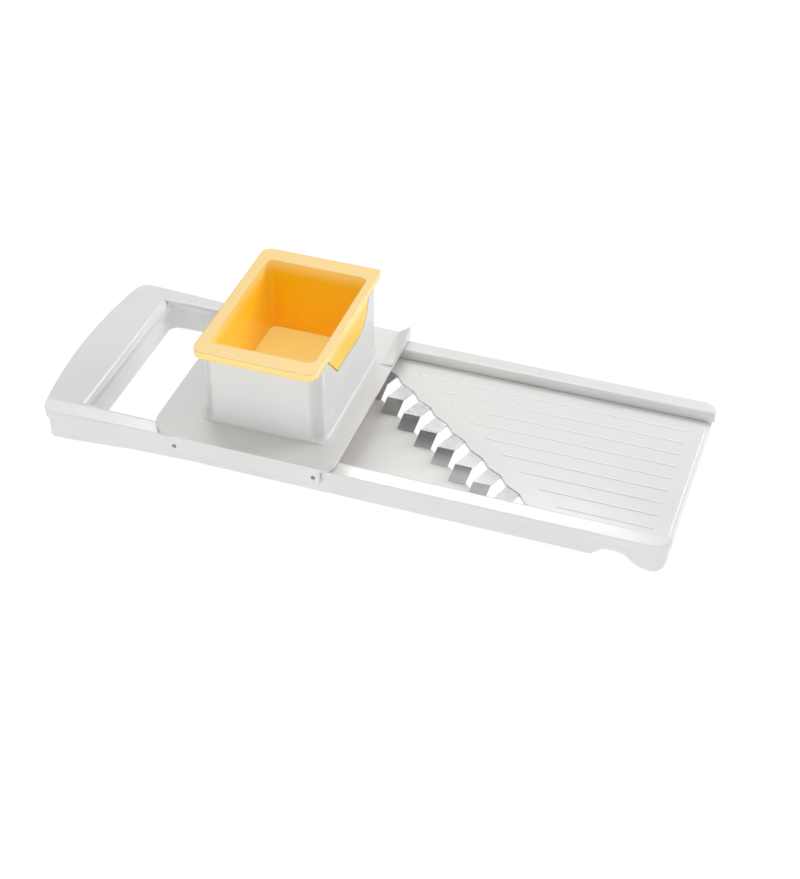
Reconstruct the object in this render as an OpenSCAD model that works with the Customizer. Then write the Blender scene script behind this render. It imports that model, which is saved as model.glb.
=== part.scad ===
// Vegetable dicer: a long slicing frame with a diagonal comb blade, a carriage
// that slides on the side rails, and a pusher that drops into its chimney.
// Millimetres. X runs from the handle to the foot end, Y across, Z up.
// The origin is under the middle of the frame, on the worktop.

/* [Frame] */
// overall length of the frame
frame_l = 360; // [300:1:400]
// width over the straight rails
frame_w = 125; // [100:0.5:150]
// height of the rail tops above the worktop
rail_z = 19; // [15:0.5:26]
// width of each rail's top
rail_w = 10; // [8:0.5:14]
// how far each side flares out at the handle end
flare = 2.8; // [0:0.1:6]
// depth of the lip along the top of the side walls
band_h = 5.5; // [4:0.5:8]
// height of the rails' lower edge between handle and foot
belly_z = 2.5; // [2:0.5:7]
// length of the handle from end to finger opening
handle_l = 30; // [22:1:40]
// length of the finger opening
finger_l = 46; // [30:1:60]
// radius of the handle's curved end
end_r = 312; // [200:1:600]
// top of the lower plate that feeds the blade
infeed_z = 4; // [3:0.25:8]
// top of the upper plate behind the blade
outfeed_z = 13; // [10:0.25:15]

/* [Blade] */
// number of teeth
teeth = 9; // [6:1:12]
// tooth spacing along the frame
pitch_x = 13.5; // [10:0.1:16]
// tooth spacing across the frame
pitch_y = 10.8; // [8:0.1:14]
// thickness of the steel
steel_t = 0.7; // [0.5:0.05:1]

/* [Carriage] */
// length of the carriage flange
flange_l = 107; // [90:1:130]
// where the flange starts, from the middle of the frame
flange_x = -109; // [-120:1:-90]
// thickness of the flange
flange_t = 2.2; // [1.8:0.1:3]
// start of the chimney
chimney_x0 = -83.5; // [-90:0.5:-70]
// end of the chimney
chimney_x1 = -15; // [-25:0.5:-5]
// width of the chimney
chimney_w = 92; // [80:1:100]
// height of the chimney's top
chimney_z = 67.5; // [50:0.5:80]
// wall of the chimney
chimney_t = 2; // [1.6:0.1:3]

/* [Pusher] */
// height of the pusher's top
pusher_z = 72; // [60:0.5:85]
// gap between pusher and chimney on each side
pusher_gap = 0.5; // [0.3:0.1:1]
// top of the pusher's floor
floor_z = 26; // [20:1:40]
// length of the food pins under the pusher
pin_l = 6; // [3:0.5:8]

/* [Hidden] */
$fn = 48;
half_w = frame_w / 2;
half_l = frame_l / 2;
inner_y = half_w - rail_w;
wall = 2;
side_in = 1.5;
big = 400;
opening_x0 = -half_l + handle_l;
opening_x1 = opening_x0 + finger_l;
// blade line: the first tooth's corner, then the edges of the two plates
tooth0 = [27.9 - 4 * pitch_x, -5.6 + 4 * pitch_y];
// tongue outline, from a tooth's top left corner
tongue = [[0, 0], [9.8, 0], [13.2, 9.4], [4.9, 13.9]];
// how far a leg leans while it falls from one plate to the other
lean_y = 5.0;
lean_x = 2.5;
drop = outfeed_z - infeed_z - 0.3;
edge_low = tooth0 + [tongue[1][0] - lean_x + 0.6, -lean_y + 0.5];
// the strip behind the teeth runs inside the upper plate
strip_z = outfeed_z - 0.3 - steel_t;
plate_t = 1.9;
infeed_t = 1.6;
// fall of each rail's top towards the outside
rail_fall = 0.6;
// rounding of the rails' inner edges
edge_r = 2;
roll_r = 5;
end_roll = 4;
// notch between rail and foot
notch_x0 = 138.3;
notch_x1 = 147.6;
notch_z = 8;
notch_ramp = 40;
notch_c = [153, -1];
notch_r = 9;
notch_a = 50;
foot_x = 174;
foot_end_r = 4.5;
ribs = 9;
rib_pitch = 10.45;
rib_y0 = 40.5;
// corners between the handle's curve and the flared sides
corner_r = 7;
corner_c = [-167.41, 58.15];
corner_n = [0.0538, 0.99855];
corner_d = [-0.98167, 0.19066];
// carriage
flange_z = rail_z + 0.3;
flange_top = flange_z + flange_t;
skirt_in = half_w + 0.45;
skirt_out = half_w + 2.8;
foot_of_chimney = outfeed_z + 0.9;
root_r = 5;
// plan radius of the chimney's corners, outside
chimney_r = 8;
skirt_z = 10;
skirt_x0 = flange_x + 12;
skirt_x1 = flange_x + flange_l - 7;
chimney_y = chimney_w / 2;
// pusher
px0 = chimney_x0 + chimney_t + pusher_gap;
px1 = chimney_x1 - chimney_t - pusher_gap;
py = chimney_y - chimney_t - pusher_gap;
lip_t = 4.2;
lip_over_x = 2;
lip_over_y = 6;

white = [0.93, 0.93, 0.92];
steel = [0.72, 0.73, 0.74];
amber = [0.98, 0.70, 0.16];

// ---------------------------------------------------------------- helpers

// draws its child on one side of the frame or the other
module side(s) {
    if (s < 0) mirror([0, 1, 0]) children(); else children();
}

// rectangle with true round corners
module round_rect(x0, x1, y0, y1, r) {
    translate([x0 + r, y0]) square([x1 - x0 - 2 * r, y1 - y0]);
    translate([x0, y0 + r]) square([x1 - x0, y1 - y0 - 2 * r]);
    for (x = [x0 + r, x1 - r], y = [y0 + r, y1 - r])
        translate([x, y]) circle(r = r);
}

// the strip of the plan beside the line through p, parallel to the blade
module beside(p, width) {
    d = [pitch_x, -pitch_y] / norm([pitch_x, pitch_y]);
    n = [-d[1], d[0]];
    a = p - d * big;
    b = p + d * big;
    polygon([a, b, b + n * width, a + n * width]);
}

// the plan behind the stepped edge of the upper plate, moved on by "o"
module behind_edge(o) {
    a = [for (i = [-2 : teeth + 1]) for (t = [tongue[3], tongue[2]])
        tooth0 + i * [pitch_x, -pitch_y] + t + [o, o] - [0.35, 0.5]];
    polygon(concat(a, [a[len(a) - 1] + [big, 0], a[len(a) - 1] + [big, big], a[0] + [0, big]]));
}

// a side view in X and Z, drawn out across the frame between two Y values
module across(y0, y1) {
    translate([0, y1, 0]) rotate([90, 0, 0]) linear_extrude(y1 - y0) children();
}

// frame outline in plan, moved in by "o"
module outline(o) {
    y0 = half_w - o;
    y1 = y0 + flare * 72 / 52;
    difference() {
        intersection() {
            polygon([[-190, y1], [-118, y0], [half_l - 9, y0], [half_l - o, half_w - 9],
                [half_l - o, 9 - half_w], [half_l - 9, -y0], [-118, -y0], [-190, -y1]]);
            translate([end_r - half_l, 0]) circle(r = end_r - o, $fn = 96);
        }
        for (s = [-1, 1]) side(s) polygon([corner_c + corner_n * (corner_r - o),
            corner_c + corner_d * (corner_r - o), [-190, 50], [-190, 75], [-150, 75]]);
    }
    for (s = [-1, 1]) side(s) {
        translate(corner_c) circle(r = corner_r - o);
        translate([half_l - 9, half_w - 9]) circle(r = 9 - o);
    }
}

// ---------------------------------------------------------------- frame

// side view of what is cut away under the side walls
module belly() {
    r0 = 2.5;
    r1 = 5;
    s = [sin(notch_ramp), 1 - cos(notch_ramp)];
    t = notch_c + notch_r * [sin(notch_a), cos(notch_a)];
    foot_r = t[1] / (1 - cos(notch_a));
    foot_c = [t[0] + foot_r * sin(notch_a), foot_r];
    polygon([[-200, -5], [-200, 0], [-158, 0], [-88, belly_z], [notch_x0, belly_z], [notch_x0, -5]]);
    // notch that hooks over the rim of a bowl: a rounded ramp, a flat, and a curve down to the foot
    difference() {
        polygon([[notch_x0, -5], [notch_x0, belly_z], [notch_x0, belly_z] + r0 * s,
            [notch_x1, notch_z] - r1 * s + 0.3 * [cos(notch_ramp), sin(notch_ramp)],
            [notch_x1, notch_z - r1], [notch_x1, -5]]);
        translate([notch_x0, belly_z + r0]) circle(r = r0);
    }
    translate([notch_x1, notch_z - r1]) circle(r = r1);
    translate([notch_x1, -5]) square([notch_c[0] - notch_x1, notch_z + 5]);
    translate(notch_c) circle(r = notch_r);
    difference() {
        polygon([[notch_c[0], -5], notch_c, t, foot_c, [foot_c[0], -5]]);
        translate(foot_c) circle(r = foot_r);
    }
    // rounded end of the foot
    difference() {
        translate([foot_x, -5]) square([20, 5 + foot_end_r]);
        translate([foot_x, foot_end_r]) circle(r = foot_end_r);
        translate([foot_x - 20, -6]) square([20, 20]);
    }
}

// lip and side walls, closed on top, open below
module shell() {
    difference() {
        union() {
            translate([0, 0, rail_z - band_h]) linear_extrude(band_h) outline(0);
            linear_extrude(rail_z - band_h + 0.01) outline(side_in);
        }
        translate([0, 0, -1]) linear_extrude(rail_z - wall + 1) outline(side_in + wall);
        translate([opening_x0 - roll_r, -inner_y, -1]) cube([big, 2 * inner_y, big]);
        across(-80, 80) belly();
    }
}

// inner walls of the rails
module inner_walls() {
    difference() {
        for (s = [-1, 1]) side(s) translate([opening_x0 - roll_r - 1, inner_y, 0])
            cube([frame_l - handle_l - side_in + roll_r, wall, rail_z - 1]);
        across(-80, 80) difference() {
            belly();
            // they reach down to the lower plate
            translate([opening_x1, infeed_z - infeed_t]) square([120 - opening_x1, 5]);
        }
    }
}

// handle's inner edge, rounded over into a wall
module handle_roll() {
    across(-inner_y - 1, inner_y + 1) difference() {
        union() {
            translate([opening_x0 - roll_r, rail_z - roll_r]) circle(r = roll_r);
            translate([opening_x0 - wall, 0.4]) square([wall, rail_z - roll_r - 0.4]);
        }
        translate([opening_x0 - roll_r, rail_z - roll_r]) circle(r = roll_r - wall);
        translate([opening_x0 - 2 * roll_r, rail_z - 2 * roll_r - 1])
            square([2 * roll_r - wall, roll_r + 1]);
        translate([opening_x0 - 2 * roll_r - 1, 0]) square([roll_r + 1, rail_z]);
    }
    for (y = [-30, 0, 30]) translate([-176, y - 0.8, 4])
        cube([25, 1.6, rail_z - wall - 3.9]);
}

// round corners of the finger opening, rolled over like the handle's edge
module opening_corners() {
    r = 6;
    for (s = [-1, 1]) side(s) intersection() {
        translate([opening_x0 + r, inner_y - r, 0]) rotate_extrude() {
            translate([r, 0.6]) square([4, rail_z - roll_r - 0.6]);
            intersection() {
                translate([r + roll_r, rail_z - roll_r]) circle(r = roll_r);
                translate([r, rail_z - roll_r - 0.1]) square([4, roll_r]);
            }
        }
        translate([opening_x0 - 0.5, inner_y - r, 0]) cube([r + 0.5, r + 0.5, rail_z]);
    }
}

module infeed_plate() {
    translate([0, 0, infeed_z - infeed_t]) linear_extrude(infeed_t) difference() {
        translate([opening_x1, -inner_y - 1]) square([220, 2 * inner_y + 2]);
        beside(edge_low, big);
    }
    // stiff edge beside the finger opening
    translate([opening_x1, -inner_y - 1, infeed_z - infeed_t])
        cube([wall, 2 * inner_y + 2, 4.1]);
}

module outfeed_plate() {
    translate([0, 0, outfeed_z - plate_t]) linear_extrude(plate_t) intersection() {
        translate([-100, -inner_y - 1]) square([100 + half_l - end_roll, 2 * inner_y + 2]);
        behind_edge(0);
    }
    // run-out ribs
    intersection() {
        for (i = [0 : ribs - 1])
            translate([-90, rib_y0 - i * rib_pitch, outfeed_z - 0.2]) rotate([90, 0, 90])
                linear_extrude(big) polygon([[-1.4, 0], [-0.1, 0.44], [0.1, 0.44], [1.4, 0]]);
        translate([0, 0, outfeed_z - 1]) linear_extrude(3) intersection() {
            beside(tooth0 + tongue[2] + [16.5, 0], big);
            translate([-100, -inner_y]) square([100 + half_l - 12, 2 * inner_y]);
        }
    }
    // the end rolls over and down
    across(-inner_y - 1, inner_y + 1) difference() {
        union() {
            translate([half_l - side_in - end_roll, outfeed_z - end_roll]) circle(r = end_roll);
            translate([half_l - side_in - wall, 5.5]) square([wall, outfeed_z - end_roll - 5.5]);
            translate([half_l - end_roll - 3, outfeed_z - plate_t]) square([3, plate_t]);
        }
        translate([half_l - side_in - end_roll, outfeed_z - end_roll])
            circle(r = end_roll - plate_t);
        translate([half_l - side_in - 2 * end_roll - 1, 0])
            square([end_roll + 1, outfeed_z - plate_t]);
        translate([half_l - side_in - 2 * end_roll, 0])
            square([2 * end_roll - wall, outfeed_z - end_roll]);
    }
}

module frame() {
    color(white) difference() {
        union() {
            shell();
            inner_walls();
            handle_roll();
            opening_corners();
            infeed_plate();
            outfeed_plate();
        }
        // the rails' tops fall towards the outside
        for (s = [-1, 1]) side(s) translate([-half_l - 5, 0, 0]) rotate([90, 0, 90])
            linear_extrude(frame_l + 10) polygon([[inner_y + edge_r, rail_z], [half_w, rail_z - rail_fall],
                [half_w + 6, rail_z - 1.6 * rail_fall], [half_w + 6, rail_z + 3], [inner_y + edge_r, rail_z + 3]]);
        // and their inner edges are rounded
        for (s = [-1, 1]) side(s) translate([opening_x0 + 6, 0, 0]) rotate([90, 0, 90])
            linear_extrude(big) difference() {
                translate([inner_y - 1, rail_z - edge_r]) square([1 + edge_r, edge_r + 1]);
                translate([inner_y + edge_r, rail_z - edge_r]) circle(r = edge_r);
            }
        // fine grooves along the foot of the side walls
        for (s = [-1, 1]) side(s) translate([-100, inner_y - 0.5, outfeed_z - 0.5])
            cube([95 + half_l, 0.5, 2]);
        // the blade is moulded in
        blade_solid();
    }
}

// ---------------------------------------------------------------- blade

module blade_solid() {
    intersection() {
        union() {
            // strip buried in the upper plate
            translate([0, 0, strip_z]) linear_extrude(steel_t) intersection() {
                behind_edge(0.35);
                beside(tooth0 + tongue[2] + [9, 0], -40);
                translate([-big / 2, -inner_y + 0.5]) square([big, 2 * inner_y - 1]);
            }
            for (i = [0 : teeth - 1])
                translate([tooth0[0] + i * pitch_x, tooth0[1] - i * pitch_y, 0]) tooth();
        }
        translate([-big / 2, -inner_y, 0]) cube([big, 2 * inner_y, 30]);
    }
}

// one tooth: a flat tongue, and a leg folded down from its near edge
module tooth() {
    run = norm([lean_y, drop]);
    sink = 1.2;
    w = tongue[1][0];
    lean = lean_x * (1 + sink / run);
    translate([0, 0, strip_z]) linear_extrude(steel_t) polygon(tongue);
    translate([0, 0.15, strip_z + steel_t - 0.15]) rotate([atan2(drop, lean_y), 0, 0])
        translate([0, 0, -steel_t]) linear_extrude(steel_t)
            polygon([[0.05, 0], [w - 0.05, 0], [w - lean, -run - sink], [-lean, -run - sink]]);
}

module comb_blade() {
    color(steel) blade_solid();
}

// ---------------------------------------------------------------- carriage

// flange in plan: wide curves at the handle side, tighter ones at the other
module flange_plan() {
    x0 = flange_x;
    x1 = flange_x + flange_l;
    y1 = skirt_out;
    translate([x0 + 15, -y1]) square([flange_l - 23, 2 * y1]);
    translate([x0, -y1 + 15]) square([15.01, 2 * y1 - 30]);
    translate([x1 - 8.01, -y1 + 8]) square([8.01, 2 * y1 - 10]);
    for (s = [-1, 1]) translate([x0 + 15, s * (y1 - 15)]) circle(r = 15);
    translate([x1 - 8, 8 - y1]) circle(r = 8);
    translate([x1 - 2, y1 - 2]) circle(r = 2);
    translate([x1 - 8.01, y1 - 3]) square([6.01, 3]);
}

// hollow curve between the flange and the two ends of the chimney
module root_curve() {
    r = root_r;
    c = chimney_r;
    x0 = chimney_x0 + c;
    x1 = chimney_x1 - c;
    y1 = chimney_y - c;
    module profile() {
        difference() {
            translate([c - 1, 0]) square([1 + r, r]);
            translate([c + r, r]) circle(r = r);
        }
    }
    translate([0, 0, flange_top - 0.01]) {
        intersection() {
            union() for (x = [x0, x1], y = [-y1, y1]) translate([x, y]) rotate_extrude() profile();
            union() {
                translate([x1, 0.1 - chimney_y, -1]) cube([30, chimney_w - 0.2, 20]);
                translate([x0 - 30, 0.1 - chimney_y, -1]) cube([30, chimney_w - 0.2, 20]);
            }
        }
        translate([x1, y1, 0]) rotate([90, 0, 0]) linear_extrude(2 * y1) profile();
        translate([x0, -y1, 0]) rotate([90, 0, 180]) linear_extrude(2 * y1) profile();
    }
}

// side skirts with hooks that run under the lip of the frame
module skirts() {
    for (s = [-1, 1]) side(s) {
        translate([skirt_x0, skirt_in, skirt_z])
            cube([skirt_x1 - skirt_x0, skirt_out - skirt_in, flange_top - skirt_z - 0.5]);
        for (x = [skirt_x0, skirt_x1 - 7])
            translate([x, half_w - side_in + 0.4, skirt_z]) cube([7, 3, rail_z - band_h - skirt_z - 0.4]);
    }
}

// edge of the flange, turned up towards the far corner
module upturned_edge() {
    x1 = flange_x + flange_l;
    y0 = 32;
    y1 = skirt_out - 0.3;
    w = 7.2;
    turn = atan2(6, 33);
    intersection() {
        translate([x1 - w, y0, flange_z + 0.5]) cube([w, y1 - y0, flange_t + 4.8]);
        union() {
            across(y0, y1) polygon([[x1 - w, flange_z], [x1, flange_z], [x1, flange_top + 1.5],
                [x1 - w, flange_top]]);
            translate([x1 - w, y1, 0]) rotate([90, 0, turn]) translate([0, 0, -5])
                linear_extrude(50) polygon([[0, flange_z], [12, flange_z], [12, flange_top + 12 * 0.75],
                    [0, flange_top]]);
        }
    }
}

// grip cut out of the chimney's top, as seen along the frame, drawn in by "o"
module grip(o) {
    r = 16.2 - o;
    polygon([[-38 + 1.3 * o, 75], [-33.4 + 1.3 * o, 68], [-19.5 + 0.6 * o, 51.8 + o],
        [14, 50.8 + o], [14, 75]]);
    difference() {
        translate([14, 67]) circle(r = r);
        translate([-10, 40]) square([24, 60]);
    }
    translate([13.9, 67]) square([r + 0.1, 8]);
}

module carriage() {
    color(white) difference() {
        union() {
            translate([0, 0, flange_z]) linear_extrude(flange_t) flange_plan();
            translate([0, 0, foot_of_chimney]) linear_extrude(chimney_z - foot_of_chimney)
                round_rect(chimney_x0, chimney_x1, -chimney_y, chimney_y, chimney_r);
            root_curve();
            skirts();
            upturned_edge();
        }
        // food passage
        translate([0, 0, 5]) linear_extrude(100) round_rect(chimney_x0 + chimney_t,
            chimney_x1 - chimney_t, -chimney_y + chimney_t, chimney_y - chimney_t, chimney_r - chimney_t);
        translate([chimney_x1 - 8, 0, 0]) rotate([90, 0, 90]) linear_extrude(20) grip(0);
        // moulding holes above the hooks
        for (s = [-1, 1], x = [skirt_x0 + 3.5, skirt_x1 - 3.5]) side(s)
            translate([x, half_w + 5, skirt_z + 4.6]) rotate([90, 0, 0]) cylinder(r = 1.3, h = 6);
    }
}

// ---------------------------------------------------------------- pusher

// lip in plan: one corner is tighter than the others
module lip_plan() {
    x0 = chimney_x0 - lip_over_x;
    x1 = chimney_x1;
    y1 = chimney_y + lip_over_y;
    difference() {
        round_rect(x0, x1, -y1, y1, 6);
        translate([x1 - 6, y1 - 6]) square([7, 7]);
    }
    translate([x1 - 6.01, y1 - 6.01]) square([6.01, 3.51]);
    translate([x1 - 6.01, y1 - 6.01]) square([3.51, 6.01]);
    translate([x1 - 2.5, y1 - 2.5]) circle(r = 2.5);
}

module pusher() {
    color(amber) {
        difference() {
            union() {
                translate([0, 0, pusher_z - lip_t]) linear_extrude(lip_t) lip_plan();
                // apron that fills the grip cut, flush with the chimney
                translate([px1 - 1, 0, 0]) rotate([90, 0, 90]) linear_extrude(chimney_x1 - px1 + 1)
                    intersection() {
                        grip(0.8);
                        translate([-50, 0]) square([100, pusher_z - 1]);
                    }
                translate([0, 0, floor_z - 2]) linear_extrude(pusher_z - floor_z + 2)
                    round_rect(px0, px1, -py, py, chimney_r - chimney_t - pusher_gap);
            }
            translate([0, 0, floor_z]) linear_extrude(100)
                round_rect(px0 + 2, px1 - 2, -py + 2, py - 2, 4);
        }
        // food pins
        for (x = [px0 + 7.25 : 12 : px1 - 5], y = [-py + 6 : 10.5 : py - 5])
            translate([x, y, floor_z - 2 - pin_l]) cylinder(r1 = 0.5, r2 = 1.1, h = pin_l + 0.2);
    }
}

frame();
comb_blade();
carriage();
pusher();
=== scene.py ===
import math

import bpy
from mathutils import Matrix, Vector


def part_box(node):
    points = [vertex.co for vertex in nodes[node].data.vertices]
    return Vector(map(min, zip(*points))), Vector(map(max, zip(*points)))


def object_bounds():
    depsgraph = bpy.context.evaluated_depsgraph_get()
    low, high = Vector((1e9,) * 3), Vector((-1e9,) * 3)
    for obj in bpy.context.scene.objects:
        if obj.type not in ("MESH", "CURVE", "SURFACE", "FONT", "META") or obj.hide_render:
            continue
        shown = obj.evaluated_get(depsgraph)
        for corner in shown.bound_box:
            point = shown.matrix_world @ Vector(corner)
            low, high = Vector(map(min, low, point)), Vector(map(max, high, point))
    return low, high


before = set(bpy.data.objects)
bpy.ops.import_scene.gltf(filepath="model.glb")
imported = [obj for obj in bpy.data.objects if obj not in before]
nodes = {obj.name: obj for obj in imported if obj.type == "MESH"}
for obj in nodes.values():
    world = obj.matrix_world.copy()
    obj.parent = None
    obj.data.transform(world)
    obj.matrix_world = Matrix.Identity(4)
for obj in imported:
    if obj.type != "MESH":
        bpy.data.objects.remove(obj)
cad_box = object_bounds()
LOW = Vector(cad_box[0])
MM = 0.001
LIP_EDGE = 4.2 * MM  # height of the pusher's lip
PLATE_TOP = 13 * MM  # height of the ribbed upper plate
RIB_FOOT = (0.02 * MM, 0.10 * MM)  # heights above the plate where the ribs' painted highlight and shade fade in
RIB_CREST = (0.3 * MM, 0.4 * MM)  # and fade out, above the ribs
LIP_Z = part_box("pusher")[1][2] - LIP_EDGE
PLATE_Z = LOW.z + PLATE_TOP

UP, TOWARD_FOOT, TOWARD_FAR_RAIL = (0, 0, 1), (1, 0, 0), (0, 1, 0)
MID = (0.3, 0.7)  # the range that most of a noise lies in

# ---------------------------------------------------------------- node trees


class Tree:
    """Short hand for building a node tree."""

    def __init__(self, tree):
        self.tree = tree
        tree.nodes.clear()

    def add(self, kind, **values):
        node = self.tree.nodes.new("ShaderNode" + kind)
        for key, value in values.items():
            setattr(node, key, value)
        return node

    def put(self, socket, value):
        """Link an output socket, or set a plain value."""
        if isinstance(value, bpy.types.NodeSocket):
            self.tree.links.new(value, socket)
        else:
            socket.default_value = value

    def place(self):
        """Position on the piece, in metres."""
        return self.add("TexCoord").outputs["Object"]

    def split(self, vector):
        node = self.add("SeparateXYZ")
        self.put(node.inputs[0], vector)
        return node.outputs

    def normal(self):
        return self.add("NewGeometry").outputs["Normal"]

    def facing(self, way):
        """How far the surface faces a way, from -1 to 1."""
        return self.dot(self.normal(), way)

    def math(self, op, a, b=0.0):
        node = self.add("Math", operation=op)
        self.put(node.inputs[0], a)
        self.put(node.inputs[1], b)
        return node.outputs[0]

    def remap(self, value, a, b, c, d, smooth=False):
        node = self.add("MapRange", interpolation_type="SMOOTHSTEP" if smooth else "LINEAR")
        self.put(node.inputs["Value"], value)
        for name, number in zip(("From Min", "From Max", "To Min", "To Max"), (a, b, c, d)):
            self.put(node.inputs[name], number)
        return node.outputs["Result"]

    def mix(self, share, a, b):
        node = self.add("Mix", data_type="RGBA")
        self.put(node.inputs[0], share)
        self.put(node.inputs[6], a)
        self.put(node.inputs[7], b)
        return node.outputs[2]

    def stretch(self, vector, scale):
        node = self.add("VectorMath", operation="MULTIPLY")
        self.put(node.inputs[0], vector)
        node.inputs[1].default_value = scale
        return node.outputs[0]

    def noise(self, vector, scale, detail=2.0, rough=0.5):
        node = self.add("TexNoise")
        self.put(node.inputs["Vector"], vector)
        node.inputs["Scale"].default_value = scale
        node.inputs["Detail"].default_value = detail
        node.inputs["Roughness"].default_value = rough
        return node.outputs[0]

    def bump(self, height, depth, under=None):
        node = self.add("Bump")
        node.inputs["Strength"].default_value = 1.0
        node.inputs["Distance"].default_value = depth
        self.put(node.inputs["Height"], height)
        if under is not None:
            self.put(node.inputs["Normal"], under)
        return node.outputs[0]

    def round_edges(self, radius):
        """Normals that shade an edge as if it were rounded to this radius."""
        node = self.add("Bevel", samples=6)
        node.inputs["Radius"].default_value = radius
        return node.outputs[0]

    def dot(self, vector, way):
        node = self.add("VectorMath", operation="DOT_PRODUCT")
        self.put(node.inputs[0], vector)
        node.inputs[1].default_value = Vector(way).normalized()
        return node.outputs["Value"]


def material(name):
    mat = bpy.data.materials.new(name)
    mat.use_nodes = True
    tree = Tree(mat.node_tree)
    shader = tree.add("BsdfPrincipled")
    out = tree.add("OutputMaterial")
    tree.put(out.inputs[0], shader.outputs[0])
    return mat, tree, shader.inputs


def rgb(r, g, b):
    return (r, g, b, 1.0)


def scatter(shader, weight, radius, scale):
    """Light that spreads a little way under the surface of a plastic."""
    shader["IOR"].default_value = 1.5
    shader["Subsurface Weight"].default_value = weight
    shader["Subsurface Radius"].default_value = radius
    shader["Subsurface Scale"].default_value = scale


# ---------------------------------------------------------------- materials


def white_plastic(name, colour, dull_and_shade, rough, corner_shade=0.0, ribs=False):
    """Moulded white plastic: fine grain, slow waviness, hair scratches, and painted shade that
    makes creases a touch darker.

    "corner_shade" adds painted shade on each rounded upright corner, and "ribs" a painted
    highlight and shade on the ribs.
    """
    mat, t, s = material(name)
    where = t.place()
    cloud = t.noise(where, 28, 3)
    grain = t.noise(where, 2600, 2)
    wave = t.noise(where, 30, 0)
    hair = t.noise(t.stretch(where, (22, 1500, 1500)), 1, 2, 0.6)
    hair = t.remap(hair, 0.62, 0.72, 0, 1, True)
    hair = t.math("MULTIPLY", hair, t.remap(t.noise(where, 60, 2), 0.45, 0.65, 0, 1, True))
    # painted shade in creases, from ambient occlusion
    crease_shade = t.add("AmbientOcclusion", samples=4, only_local=True)
    crease_shade.inputs["Distance"].default_value = 1.6 * MM
    shade = t.math("MULTIPLY", t.remap(crease_shade.outputs["AO"], 0.1, 0.8, 1, 0, True), 0.3)
    if corner_shade:
        # painted shade on each rounded upright corner, where the surface turns between X and Y
        way = t.split(t.normal())
        turned = t.math("ABSOLUTE", t.math("MULTIPLY", way["X"], way["Y"]))
        shade = t.math("MAXIMUM", shade, t.remap(turned, 0.10, 0.44, 0, corner_shade, True))
    tint = t.mix(t.remap(cloud, *MID, 0, 0.25), colour, dull_and_shade)
    tint = t.mix(shade, tint, dull_and_shade)
    if ribs:
        # a painted highlight on the ribs' crests and far slopes and painted shade on their near
        # slopes, because ribs this low hardly show by their shape alone
        z = t.split(where)["Z"]
        foot, crest = ([PLATE_Z + rise for rise in band] for band in (RIB_FOOT, RIB_CREST))
        on_rib = t.math("MULTIPLY", t.remap(z, *foot, 0, 1), t.remap(z, *crest, 1, 0))
        far_side = t.remap(t.facing(TOWARD_FAR_RAIL), -0.2, -0.05, 0, 1)
        tint = t.mix(on_rib, tint, t.mix(far_side, rgb(0.64, 0.64, 0.635), rgb(0.97, 0.97, 0.965)))
    t.put(s["Base Color"], tint)
    gloss = t.remap(cloud, *MID, rough - 0.03, rough + 0.05)
    t.put(s["Roughness"], t.math("ADD", gloss, t.math("MULTIPLY", hair, 0.12)))
    normal = t.bump(wave, 0.03 * MM, t.round_edges(0.6 * MM))
    normal = t.bump(grain, 0.006 * MM, normal)
    t.put(s["Normal"], t.bump(hair, -0.004 * MM, normal))
    scatter(s, 0.12, (1.0, 0.9, 0.8), 1.6 * MM)
    return mat


def amber_plastic(name):
    """Clear-toned amber plastic: deep on the walls, with painted light that makes the lip and
    faces that look up paler.
    """
    mat, t, s = material(name)
    where = t.place()
    spot = t.split(where)
    lip = t.remap(spot["Z"], LIP_Z - 6 * MM, LIP_Z + 3 * MM, 0, 1, True)
    up = t.remap(t.facing(UP), 0.1, 0.9, 0, 1, True)
    cloud = t.noise(where, 35, 3)
    grain = t.noise(where, 2400, 2)
    wave = t.noise(where, 50, 1)
    blotch = t.remap(cloud, *MID, 0, 1)
    # painted light: the lip and faces that look up get a paler tone, for the light they catch
    pale = t.mix(blotch, rgb(0.98, 0.71, 0.30), rgb(0.98, 0.70, 0.29))
    deep = t.mix(blotch, rgb(0.97, 0.56, 0.01), rgb(0.97, 0.54, 0.01))
    t.put(s["Base Color"], t.mix(t.math("MAXIMUM", lip, up), deep, pale))
    # a faint painted glow, which stands in for light that the clear walls pass on: stronger
    # higher up, on the wall that faces +X, and on the floor of the box, and nearly none on the lip
    rise = t.remap(spot["Z"], LIP_Z - 40 * MM, LIP_Z + 3 * MM, 0, 1)
    glow = t.mix(rise, rgb(0.10, 0.025, 0.0), rgb(0.10, 0.09, 0.0))
    lit = t.remap(t.facing(TOWARD_FOOT), 0.3, 0.9, 0, 1, True)
    lit = t.math("MULTIPLY", lit, t.remap(spot["Y"], -46 * MM, 40 * MM, 1, 0.1))
    glow = t.mix(lit, glow, rgb(0.10, 0.15, 0.04))
    glow = t.mix(up, glow, rgb(0.17, 0.23, 0.07))
    top = t.math("MULTIPLY", up, t.remap(spot["Z"], LIP_Z, LIP_Z + 2 * MM, 0, 1))
    t.put(s["Emission Color"], t.mix(top, glow, rgb(0.01, 0.01, 0.0)))
    s["Emission Strength"].default_value = 1.0
    t.put(s["Roughness"], t.remap(cloud, *MID, 0.27, 0.29))
    normal = t.bump(wave, 0.012 * MM, t.round_edges(0.9 * MM))
    t.put(s["Normal"], t.bump(grain, 0.004 * MM, normal))
    scatter(s, 0.15, (1.0, 0.45, 0.12), 4 * MM)
    return mat


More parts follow.
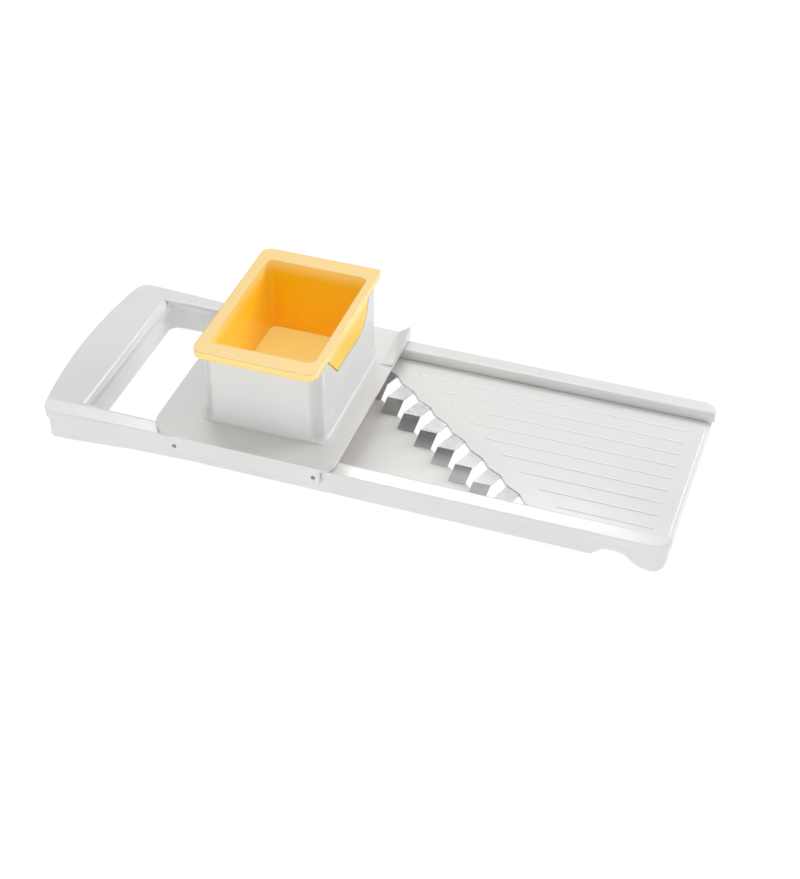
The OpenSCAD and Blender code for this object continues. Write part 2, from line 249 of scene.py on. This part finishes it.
def ground_steel(name):
    """Ground stainless strip: fine lines along the frame, some of them deeper."""
    mat, t, s = material(name)
    where = t.place()
    fine = t.noise(t.stretch(where, (90, 5200, 5200)), 1, 3, 0.6)
    coarse = t.noise(t.stretch(where, (60, 1400, 1400)), 1, 2, 0.5)
    cloud = t.noise(where, 120, 2)
    line = t.remap(fine, *MID, 0, 1)
    legs = t.mix(line, rgb(0.56, 0.56, 0.57), rgb(0.70, 0.70, 0.70))
    flats = t.mix(line, rgb(0.60, 0.60, 0.61), rgb(0.66, 0.66, 0.66))
    # painted shade on the flats, deepening toward the foot end
    darker = t.remap(t.split(where)["X"], 0.0, 0.09, 0.0, 0.85)
    flats = t.mix(darker, flats, rgb(0.16, 0.16, 0.16))
    t.put(s["Base Color"], t.mix(t.remap(t.facing(UP), 0.7, 0.95, 0, 1, True), legs, flats))
    gloss = t.remap(coarse, *MID, 0.21, 0.25)
    t.put(s["Roughness"], t.math("ADD", gloss, t.remap(cloud, *MID, -0.02, 0.02)))
    t.put(s["Normal"], t.bump(coarse, 0.0009 * MM, t.bump(fine, 0.0006 * MM)))
    s["Metallic"].default_value = 1.0
    return mat


def floor_paint(name):
    """Plain pale floor, lit up so that it shows as an even white."""
    mat, t, s = material(name)
    t.put(s["Base Color"], rgb(0.14, 0.14, 0.14))
    t.put(s["Roughness"], t.remap(t.noise(t.place(), 30, 2), *MID, 0.75, 0.85))
    s["Specular IOR Level"].default_value = 0.2
    s["Emission Color"].default_value = rgb(1, 1, 1)
    s["Emission Strength"].default_value = 0.92
    return mat


def dress(node, mat):
    piece = nodes[node]
    piece.data.materials.clear()
    piece.data.materials.append(mat)


WHITE = rgb(0.79, 0.79, 0.785)
DULL_AND_SHADE = rgb(0.66, 0.66, 0.65)
dress("frame", white_plastic("white_frame", WHITE, DULL_AND_SHADE, rough=0.17, ribs=True))
dress("carriage", white_plastic("white_carriage", WHITE, DULL_AND_SHADE, rough=0.20, corner_shade=1.0))
dress("pusher", amber_plastic("amber"))
dress("comb_blade", ground_steel("steel"))

# ---------------------------------------------------------------- stage

FLOOR_SIZE = 30
FLOOR_GAP = 0.02 * MM  # keeps the floor from touching the feet
bpy.ops.mesh.primitive_plane_add(size=FLOOR_SIZE, location=(0, 0, LOW.z - FLOOR_GAP))
floor = bpy.context.object
floor.name = "floor"
floor.data.materials.append(floor_paint("floor_paint"))

world = bpy.data.worlds.new("studio")
world.use_nodes = True
sky = Tree(world.node_tree)
way = sky.add("TexCoord").outputs["Generated"]
LEAST = 0.05
# a soft wash of light from above, less a dark patch high in front and one low at the corner
wash = sky.remap(sky.dot(way, (0.35, -0.20, 0.75)), -0.5, 1.0, 0.30, 0.72, True)
front = sky.remap(sky.dot(way, (-0.18, -0.87, 0.46)), 0.82, 0.96, 0.0, 0.36, True)
corner = sky.remap(sky.dot(way, (0.75, -0.65, 0.10)), 0.72, 0.96, 0.0, 0.35, True)
wash = sky.math("SUBTRACT", wash, sky.math("ADD", front, corner))
back = sky.add("Background")
back.inputs["Color"].default_value = rgb(1, 1, 1)
sky.put(back.inputs["Strength"], sky.math("MAXIMUM", wash, LEAST))
sky.put(sky.add("OutputWorld").inputs[0], back.outputs[0])
bpy.context.scene.world = world


def softbox(name, place, aim, size, glow):
    """A rectangular light, as bright per square metre as "glow" says."""
    light = bpy.data.lights.new(name, "AREA")
    light.shape = "RECTANGLE"
    light.size, light.size_y = size
    light.energy = glow * math.pi * size[0] * size[1]
    lamp = bpy.data.objects.new(name, light)
    bpy.context.scene.collection.objects.link(lamp)
    lamp.location = place
    lamp.rotation_euler = (Vector(aim) - Vector(place)).to_track_quat("-Z", "Y").to_euler()


softbox("back", place=(-0.385, 0.785, 1.10), aim=(0, 0, 0), size=(0.80, 0.22), glow=11.0)
softbox("key", place=(0.62, 0.55, 0.50), aim=(0.05, 0, 0), size=(0.5, 0.45), glow=4.4)
softbox("fill", place=(0.02, -1.10, 0.10), aim=(0, 0, 0.02), size=(1.2, 0.15), glow=5.4)

EYE_PLACE = (0.27267, -0.74499, 0.65052)
LOOK_DOWN, TURN = 39.636, 19.148  # degrees below the horizon, and round from +Y
camera = bpy.data.cameras.new("camera")
camera.sensor_width = 36
camera.lens = 74.7
eye = bpy.data.objects.new("camera", camera)
bpy.context.scene.collection.objects.link(eye)
eye.location = EYE_PLACE
eye.rotation_euler = (math.radians(90 - LOOK_DOWN), 0, math.radians(TURN))
bpy.context.scene.camera = eye
bpy.context.scene.view_settings.view_transform = "Standard"
